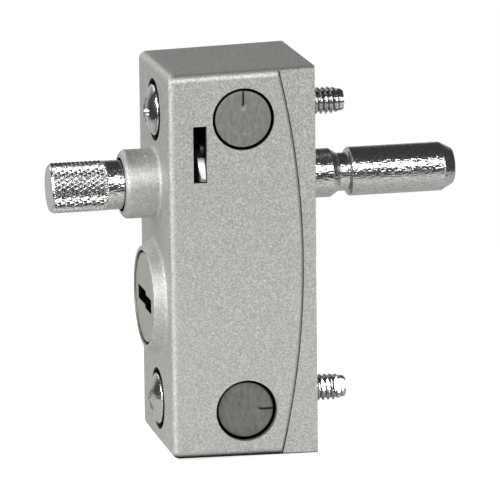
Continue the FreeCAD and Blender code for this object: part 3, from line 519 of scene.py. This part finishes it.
SHAFT_LEVEL = 15.0
BAR_RADIUS = 5.0
GROOVE_RADIUS = 3.9
CORE_RADIUS = 4.3
TIP_RADIUS = 3.6
BOLT_OUTLINE = [
    (-51.0, 0.0), (-51.0, CORE_RADIUS), (-41.0, CORE_RADIUS), (-40.6, BAR_RADIUS),
    (-24.2, BAR_RADIUS, 0.1), (-24.2, GROOVE_RADIUS, 0.1),
    (-22.2, GROOVE_RADIUS, 0.1), (-22.2, BAR_RADIUS, 0.1),
    (6.1, BAR_RADIUS, 0.3), (7.8, GROOVE_RADIUS, 0.25),
    (9.8, GROOVE_RADIUS, 0.15), (9.8, BAR_RADIUS, 0.6),
    (29.4, BAR_RADIUS, 0.9), (32.0, TIP_RADIUS, 0.5), (32.0, 0.0)]
BEND_STEPS = 6
BAR_SECTORS = 160
KNURL = {"Start": -51.8, "Length": 11.4, "Radius": 5.1, "Depth": 0.34, "Starts": 32.0,
         "Repeats": 6.5, "Chamfer": 0.6, "Height": SHAFT_LEVEL}
# Twelve columns and rows to each groove, so that the grooves run along the mesh
CELLS_PER_GROOVE = 12
KNURL_COLUMNS = int(KNURL["Starts"] * CELLS_PER_GROOVE)
KNURL_ROWS = int(KNURL["Repeats"] * CELLS_PER_GROOVE)
KNURL_FLANK = 2.4
RUN_OUT = 0.45
NECK_RADIUS = 4.99
NECK_SLOPE = 0.8


def knurl_tree():
    """A cylinder whose wall is cut by two crossing sets of slanted grooves."""
    tree, size = growth("knurled_knob", KNURL)
    tube = add(tree, "GeometryNodeMeshCylinder", {
        "Vertices": KNURL_COLUMNS, "Side Segments": KNURL_ROWS, "Radius": UNIT, "Depth": UNIT},
        fill_type="NGON")
    spot = add(tree, "ShaderNodeSeparateXYZ", {0: add(tree, "GeometryNodeInputPosition")})
    across, over, along = spot.outputs
    share = add(tree, MATH, [along, UNIT / 2], operation="ADD")
    angle = add(tree, MATH, [over, across], operation="ARCTAN2")
    turns = add(tree, MATH, [angle, 2 * math.pi], operation="DIVIDE")
    around = add(tree, MATH, [turns, size["Starts"]], operation="MULTIPLY")
    slant = add(tree, MATH, [share, size["Repeats"]], operation="MULTIPLY")
    heights = [ridge(tree, add(tree, MATH, [around, slant], operation=way), KNURL_FLANK)
               for way in ("ADD", "SUBTRACT")]
    peak = add(tree, MATH, heights, operation="MINIMUM")
    peak = add(tree, MATH, [peak, FULL_HEIGHT], operation="MINIMUM")
    cut = add(tree, MATH, [FULL_HEIGHT, peak], operation="SUBTRACT")
    # The grooves run out over the last half millimetre before the plain shaft
    from_tip = add(tree, MATH, [share, size["Length"]], operation="MULTIPLY")
    from_end = add(tree, MATH, [size["Length"], from_tip], operation="SUBTRACT")
    fade = add(tree, MATH, [from_end, RUN_OUT], operation="DIVIDE")
    fade = add(tree, MATH, [fade, 1.0], operation="MINIMUM")
    deep = add(tree, MATH, [cut, fade], operation="MULTIPLY")
    deep = add(tree, MATH, [deep, size["Depth"]], operation="MULTIPLY")
    wall = add(tree, MATH, [size["Radius"], deep], operation="SUBTRACT")
    neck = add(tree, MATH, [from_end, NECK_SLOPE, NECK_RADIUS], operation="MULTIPLY_ADD")
    wall = add(tree, MATH, [wall, neck], operation="MINIMUM")
    cone = add(tree, MATH, [size["Radius"], size["Chamfer"]], operation="SUBTRACT")
    cone = add(tree, MATH, [cone, from_tip], operation="ADD")
    radius = add(tree, MATH, [wall, cone], operation="MINIMUM")
    place = add(tree, "ShaderNodeCombineXYZ", {
        0: add(tree, MATH, [size["Start"], from_tip], operation="ADD"),
        1: add(tree, MATH, [radius, across], operation="MULTIPLY"),
        2: add(tree, MATH, [radius, over, size["Height"]], operation="MULTIPLY_ADD")})
    shaped = add(tree, "GeometryNodeSetPosition", {"Geometry": tube, "Position": place})
    facets = add(tree, "GeometryNodeTriangulate", {0: shaped}, quad_method="SHORTEST_DIAGONAL")
    return end_growth(tree, facets, PLATE)


bar = turned("bolt_bar", rounded(BOLT_OUTLINE, BEND_STEPS),
             Matrix.Translation((0.0, 0.0, SHAFT_LEVEL)), BAR_SECTORS)
piece("bolt_bar", bar, DRAWN, "bolt", "plunger", crease=40.0)
piece("knurled_knob", grown("knurled_knob", knurl_tree(), KNURL), PLATE, "bolt", "plunger",
      crease=24.0)

# Fixing screws: domed cross heads, and thread-cutting ends

# Of each screw: its level, and the turns of its cross and of its flute in degrees
SCREWS = {"upper": (30.0, 4.0, 330.0), "lower": (-30.0, 40.0, 158.0)}
ROUND_SECTORS = 96
HEAD_TOP = -32.0
HEAD_BACK = -28.4
HEAD_RADIUS = 5.2
DOME_RADIUS = 8.411
DOME_STEPS = 24
HEAD_EDGE = 0.25
SHANK_RADIUS = 2.45
SHANK_END = 0.6
HEAD_OUTLINE = [(HEAD_TOP, 0.0)]
for step in range(1, DOME_STEPS + 1):
    reach = HEAD_RADIUS * step / DOME_STEPS
    HEAD_OUTLINE.append((HEAD_TOP + DOME_RADIUS - math.sqrt(DOME_RADIUS ** 2 - reach ** 2), reach))
HEAD_OUTLINE[-1] += (HEAD_EDGE,)
HEAD_OUTLINE += [(HEAD_BACK, HEAD_RADIUS, 0.2), (HEAD_BACK, SHANK_RADIUS),
                 (SHANK_END, SHANK_RADIUS), (SHANK_END, 0.0)]
# One blade of the driver's recess, tapered towards the bottom
BLADE = [(-33.2, -3.5, 3.5, 0.85), (-31.0, -2.5, 2.5, 0.55), (-29.9, -1.2, 1.2, 0.40)]

THREAD = {"Length": 8.995, "Pitch": 1.0582, "Crest": 2.74, "Root": 2.1, "Level": 30.0,
          "Taper Start": 6.6, "Taper": 0.26, "Flute": 0.0}
THREAD_COLUMNS = 60
THREAD_TURNS = 9.5
ROWS_PER_TURN = 12
THREAD_FLANK = 2.3
THREAD_WELD = 0.002
# How far the wall runs past each end before it closes to the axis
OVERRUN = 1.3 / ROWS_PER_TURN
# Before its start the flute's flat rises out of the thread, and over its step it goes deeper
FLUTE_START = 3.3
FLUTE_RISE = 0.9
FLUTE_STEP = (6.1, 6.6)
FLUTE_LEVELS = (2.28, 1.9)
LEAST_FACING = 0.02


def thread_tree():
    """A screw end: rows sheared along the helix, so each crest is one clean line."""
    tree, size = growth("thread_cutting_end", THREAD)
    rows = int(THREAD_TURNS * ROWS_PER_TURN)
    grid = add(tree, "GeometryNodeMeshGrid", {
        "Size X": UNIT, "Size Y": UNIT, "Vertices X": rows + 1, "Vertices Y": THREAD_COLUMNS + 1})
    spot = add(tree, "ShaderNodeSeparateXYZ", {0: add(tree, "GeometryNodeInputPosition")})
    share = add(tree, MATH, [spot.outputs[0], UNIT / 2], operation="ADD")
    turns = add(tree, MATH, [spot.outputs[1], UNIT / 2], operation="ADD")
    whole = add(tree, MATH, [size["Length"], size["Pitch"]], operation="ADD")
    lead = add(tree, MATH, [turns, 1.0], operation="SUBTRACT")
    lead = add(tree, MATH, [lead, size["Pitch"]], operation="MULTIPLY")
    raw = add(tree, MATH, [share, whole, lead], operation="MULTIPLY_ADD")
    along = add(tree, MATH, [raw, 0.0], operation="MAXIMUM")
    along = add(tree, MATH, [along, size["Length"]], operation="MINIMUM")
    phase = add(tree, MATH, [along, size["Pitch"]], operation="DIVIDE")
    phase = add(tree, MATH, [phase, turns], operation="SUBTRACT")
    rise = ridge(tree, phase, THREAD_FLANK)
    rise = add(tree, MATH, [rise, FULL_HEIGHT], operation="MINIMUM")
    depth = add(tree, MATH, [size["Crest"], size["Root"]], operation="SUBTRACT")
    crests = add(tree, MATH, [rise, depth, size["Root"]], operation="MULTIPLY_ADD")
    past = add(tree, MATH, [along, size["Taper Start"]], operation="SUBTRACT")
    past = add(tree, MATH, [past, 0.0], operation="MAXIMUM")
    drop = add(tree, MATH, [past, size["Taper"]], operation="MULTIPLY")
    cone = add(tree, MATH, [size["Crest"], drop], operation="SUBTRACT")
    radius = add(tree, MATH, [crests, cone], operation="MINIMUM")
    angle = add(tree, MATH, [turns, 2 * math.pi], operation="MULTIPLY")
    # The flute is a flat milled along the end, first through the crests and then deeper
    away = add(tree, MATH, [angle, size["Flute"]], operation="SUBTRACT")
    facing = add(tree, MATH, [away], operation="COSINE")
    facing = add(tree, MATH, [facing, LEAST_FACING], operation="MAXIMUM")
    lead_in = add(tree, MATH, [FLUTE_START, along], operation="SUBTRACT")
    lead_in = add(tree, MATH, [lead_in, FLUTE_RISE], operation="DIVIDE")
    lead_in = add(tree, MATH, [lead_in, 0.0], operation="MAXIMUM")
    level = add(tree, "ShaderNodeMapRange", {
        "Value": along, "From Min": FLUTE_STEP[0], "From Max": FLUTE_STEP[1],
        "To Min": FLUTE_LEVELS[0], "To Max": FLUTE_LEVELS[1]})
    level = add(tree, MATH, [level, lead_in], operation="ADD")
    flat = add(tree, MATH, [level, facing], operation="DIVIDE")
    radius = add(tree, MATH, [radius, flat], operation="MINIMUM")
    # Past both ends the rows close to the axis
    begun = add(tree, MATH, [raw, -OVERRUN], operation="GREATER_THAN")
    limit = add(tree, MATH, [size["Length"], OVERRUN], operation="ADD")
    unended = add(tree, MATH, [raw, limit], operation="LESS_THAN")
    inside = add(tree, MATH, [begun, unended], operation="MULTIPLY")
    radius = add(tree, MATH, [radius, inside], operation="MULTIPLY")
    across = add(tree, MATH, [angle], operation="COSINE")
    across = add(tree, MATH, [radius, across], operation="MULTIPLY")
    over = add(tree, MATH, [angle], operation="SINE")
    over = add(tree, MATH, [radius, over, size["Level"]], operation="MULTIPLY_ADD")
    place = add(tree, "ShaderNodeCombineXYZ", {0: along, 1: across, 2: over})
    shaped = add(tree, "GeometryNodeSetPosition", {"Geometry": grid, "Position": place})
    merged = add(tree, "GeometryNodeMergeByDistance",
                 {"Geometry": shaped, "Distance": THREAD_WELD})
    return end_growth(tree, merged, PLATE)


threads = thread_tree()
for which, (height, cross_turn, flute_turn) in SCREWS.items():
    place = Matrix.Translation((0, 0, height))
    head = turned("screw_head_" + which, rounded(HEAD_OUTLINE), place, ROUND_SECTORS)
    blades = [prism("blade", BLADE, place @ Matrix.Rotation(
        math.radians(cross_turn + 90.0 * quarter), 4, "X")) for quarter in (0, 1)]
    piece("screw_head_" + which, head, PLATE, "casing", "fixing_screw_" + which,
          edge=0.12, crease=30.0, cutters=blades)
    sizes = dict(THREAD, Level=height, Flute=math.radians(flute_turn))
    piece("screw_thread_" + which, grown("screw_thread_" + which, threads, sizes), PLATE,
          "casing", "fixing_screw_" + which, crease=28.0)

# Covers of the side holes: faintly domed discs, with a shallow ring mark in the face

# Of each cover: its level, how far out its face lies, and the turn of its slit in degrees
COVERS = {"upper": (30.0, 14.65, 90.0), "lower": (-30.0, 13.8, 0.0)}
COVER_INSET = -14.8
COVER_BACK = 11.05
COVER_RADIUS = 5.75
COVER_BEND = 0.3
# Points of the face from rim to middle: out from the rim, radius and bend
COVER_FACE = [(0.07, 4.6), (0.14, 3.2, 0.05), (0.08, 2.95, 0.05), (0.16, 1.6), (0.18, 0.0)]
# The slit that a screwdriver lifts the cover by, and the dimple at its inner end
SLIT = [(0.3, 2.7, 6.3, 0.24), (-0.2, 2.7, 6.3, 0.20), (-0.42, 2.7, 6.3, 0.10)]
DIMPLE = [(0.30, 1.7, 3.3, 0.80), (0.12, 2.0, 3.2, 0.55), (-0.20, 2.6, 3.0, 0.08)]
# Turns a piece's own X axis to -Y, the side with the covers
TO_SIDE = Matrix(((0, 1, 0, 0), (-1, 0, 0, 0), (0, 0, 1, 0), (0, 0, 0, 1)))

for which, (height, top, swing) in COVERS.items():
    place = Matrix.Translation((COVER_INSET, 0, height)) @ TO_SIDE
    outline = [(COVER_BACK, 0.0), (COVER_BACK, COVER_RADIUS), (top, COVER_RADIUS, COVER_BEND)]
    outline += [(top + rise, *rest) for rise, *rest in COVER_FACE]
    disc = turned("hole_cover_" + which, rounded(outline), place, ROUND_SECTORS)
    swung = place @ Matrix.Translation((top, 0, 0)) @ Matrix.Rotation(math.radians(swing), 4, "X")
    piece("hole_cover_" + which, disc, NYLON[which], "casing", "hole_plug_" + which,
          edge=0.04, crease=28.0,
          cutters=[prism("slit", SLIT, swung), prism("dimple", DIMPLE, swung)])

# Latch: the tab of its plate is blanked with a sloping front and a broken corner

TAB_SLOPE = [(-15.2, 18.3), (-14.52, 18.3), (-13.6, 21.1), (-12.4, 22.9), (-15.2, 22.9)]
TAB_SLOPE_ENDS = (-24.1, -22.2)
TAB_CORNER = [(-24.1, -15.2), (-23.3, -15.2), (-23.3, -14.6), (-24.1, -13.6)]
TAB_CORNER_ENDS = (17.2, 23.4)
slope = cutter("tab_slope", [[Vector((x, y, z)) for y, z in TAB_SLOPE] for x in TAB_SLOPE_ENDS])
corner = cutter("tab_corner", [[Vector((x, y, z)) for x, y in TAB_CORNER] for z in TAB_CORNER_ENDS])
piece("latch_plate", cad_copy("latch_yoke"), SHEET, "latch", "latch_yoke",
      edge=0.12, cutters=[slope, corner])

# Key cylinder and the parts inside: the CAD solids with eased edges

for node, name, material, body, slot, edge in (
        ("cylinder_core", "key_core", NICKEL, "core", "satin_nickel", 0.06),
        ("cylinder_housing", "key_housing", BRASS, "casing", "cylinder_brass", 0.05),
        ("bolt_guide_block", "guide_block", ZINC, "casing", "cast_zinc", 0.15),
        ("back_plate", "rear_plate", ROLLED, "casing", "bare_steel", 0.12),
        ("back_plate_screws", "rear_plate_screws", PLATE, "casing", "plated_steel", 0.05),
        ("drive_cam", "eccentric_cam", ZINC, "core", "cast_zinc", 0.1),
        ("cam_screw", "eccentric_screw", PLATE, "core", "plated_steel", 0.08),
        ("housing_locking_pin", "housing_pin", ROLLED, "casing", "bare_steel", 0.1)):
    piece(name, cad_copy(node), material, body, node, edge=edge)

# The wafers and the springs are the CAD solids themselves
WAFERS = ["wafer_%d" % number for number in range(1, 6)]
SPRINGS = ["wafer_springs", "latch_spring_front", "latch_spring_rear"]
for nodes, material in ((WAFERS, BRASS), (SPRINGS, WIRE)):
    for node in nodes:
        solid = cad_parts[node].data
        solid.materials.clear()
        solid.materials.append(material)

# Floor: white to the camera, and it keeps the shadow. Metal sees a bright strip of it.

FLOOR_HALF = 160.0
FLOOR_LEVEL = -40.0
PAPER_SEEN = 0.80
PAPER_MIRRORED = 0.48
# The strip lies in front of the lock: where it rises, where it falls, and what is left
PAPER_RISE = (-0.095, -0.078)
PAPER_FALL = (-0.070, -0.050)
PAPER_NEAR = 0.12


def floor_paper():
    """Matt white paper that glows where the camera or metal sees it."""
    material, tree, surface, place = finish(
        "white_paper", Roughness=0.9, Base_Color=colour("C9C9C7"))
    output = surface.outputs[0].links[0].to_node
    seen, metal = sight(tree)
    across = add(tree, "ShaderNodeSeparateXYZ", {0: place})
    rise = add(tree, "ShaderNodeMapRange", {
        "Value": across.outputs[1], "From Min": PAPER_RISE[0], "From Max": PAPER_RISE[1],
        "To Min": 0.0, "To Max": PAPER_MIRRORED})
    fall = add(tree, "ShaderNodeMapRange", {
        "Value": across.outputs[1], "From Min": PAPER_FALL[0], "From Max": PAPER_FALL[1],
        "To Min": 1.0, "To Max": PAPER_NEAR})
    strip = add(tree, MATH, [rise, fall], operation="MULTIPLY")
    mirrored = add(tree, MATH, [metal, strip], operation="MULTIPLY")
    lift = add(tree, MATH, [seen, PAPER_SEEN, mirrored], operation="MULTIPLY_ADD")
    glow = add(tree, "ShaderNodeEmission", {"Color": (1, 1, 1, 1), "Strength": lift})
    both = add(tree, "ShaderNodeAddShader", {0: surface, 1: glow})
    tree.links.new(both.outputs[0], output.inputs["Surface"])
    return material


paper = bmesh.new()
paper.faces.new([paper.verts.new((x * FLOOR_HALF, y * FLOOR_HALF, FLOOR_LEVEL))
                 for x, y in ((-1, -1), (1, -1), (1, 1), (-1, 1))])
sheet = from_bmesh("floor", paper)
if sheet.polygons[0].normal.z < 0:
    sheet.flip_normals()
sheet.materials.append(floor_paper())
floor = bpy.data.objects.new("floor", sheet)
scene.collection.objects.link(floor)

# Room: white to the camera, soft grey to matt surfaces, and dark to metal

ROOM_SOFT = 0.27
ROOM_MIRRORED = 0.055
# Metal sees a pale backdrop low down behind the lock, which fades over these ranges
BACKDROP_MIRRORED = 0.50
BACKDROP_BEHIND = (0.05, 0.25)
BACKDROP_TOP = (0.20, 0.30)
BACKDROP_INWARD = (-0.72, -0.55)

world = bpy.data.worlds.new("Studio")
scene.world = world
world.use_nodes = True
room = world.node_tree
room.nodes.clear()
seen, metal = sight(room)
heading = add(room, "ShaderNodeSeparateXYZ", {0: add(room, "ShaderNodeTexCoord")})
behind = add(room, "ShaderNodeMapRange", {
    "Value": heading.outputs[1], "From Min": BACKDROP_BEHIND[0], "From Max": BACKDROP_BEHIND[1],
    "To Min": 0.0, "To Max": 1.0})
low = add(room, "ShaderNodeMapRange", {
    "Value": heading.outputs[2], "From Min": BACKDROP_TOP[0], "From Max": BACKDROP_TOP[1],
    "To Min": 1.0, "To Max": 0.0})
inward = add(room, "ShaderNodeMapRange", {
    "Value": heading.outputs[0], "From Min": BACKDROP_INWARD[0], "From Max": BACKDROP_INWARD[1],
    "To Min": 0.0, "To Max": 1.0})
backdrop = add(room, MATH, [behind, low], operation="MULTIPLY")
backdrop = add(room, MATH, [backdrop, inward], operation="MULTIPLY")
mirrored = add(room, MATH, [backdrop, BACKDROP_MIRRORED, ROOM_MIRRORED], operation="MULTIPLY_ADD")
mirrored = add(room, MATH, [mirrored, metal], operation="MULTIPLY")
plain = add(room, MATH, [1.0, metal], operation="SUBTRACT")
strength = add(room, MATH, [plain, ROOM_SOFT, mirrored], operation="MULTIPLY_ADD")
strength = add(room, MATH, [strength, seen], operation="MAXIMUM")
sky = add(room, "ShaderNodeBackground", {"Color": (1, 1, 1, 1), "Strength": strength})
add(room, "ShaderNodeOutputWorld", {"Surface": sky})

# Lamps: broad and soft, all turned to the lock from the same distance

LAMP_DISTANCE = 0.8
# Of each lamp: azimuth and elevation in degrees, width and height in metres, and watts
LAMPS = {"side_key": (-90.0, 20.0, 0.24, 0.17, 1.7),
         "corner_fill": (-68.0, 5.0, 0.36, 0.24, 1.85),
         "front_panel": (-12.0, 33.0, 1.00, 0.13, 4.3),
         "right_fill": (42.0, 16.0, 0.30, 0.30, 1.65),
         "top_fill": (-25.0, 68.0, 0.30, 0.24, 0.25),
         "rear_fill": (-150.0, 35.0, 0.50, 0.40, 1.0)}
for name, (azimuth, elevation, wide, tall, watts) in LAMPS.items():
    towards = direction(azimuth, elevation)
    glow = bpy.data.lights.new(name, "AREA")
    glow.shape = "RECTANGLE"
    glow.size = wide
    glow.size_y = tall
    glow.energy = watts
    lamp = bpy.data.objects.new(name, glow)
    lamp.matrix_world = (Matrix.Translation(towards * LAMP_DISTANCE)
                         @ towards.to_track_quat("Z", "Y").to_matrix().to_4x4())
    scene.collection.objects.link(lamp)
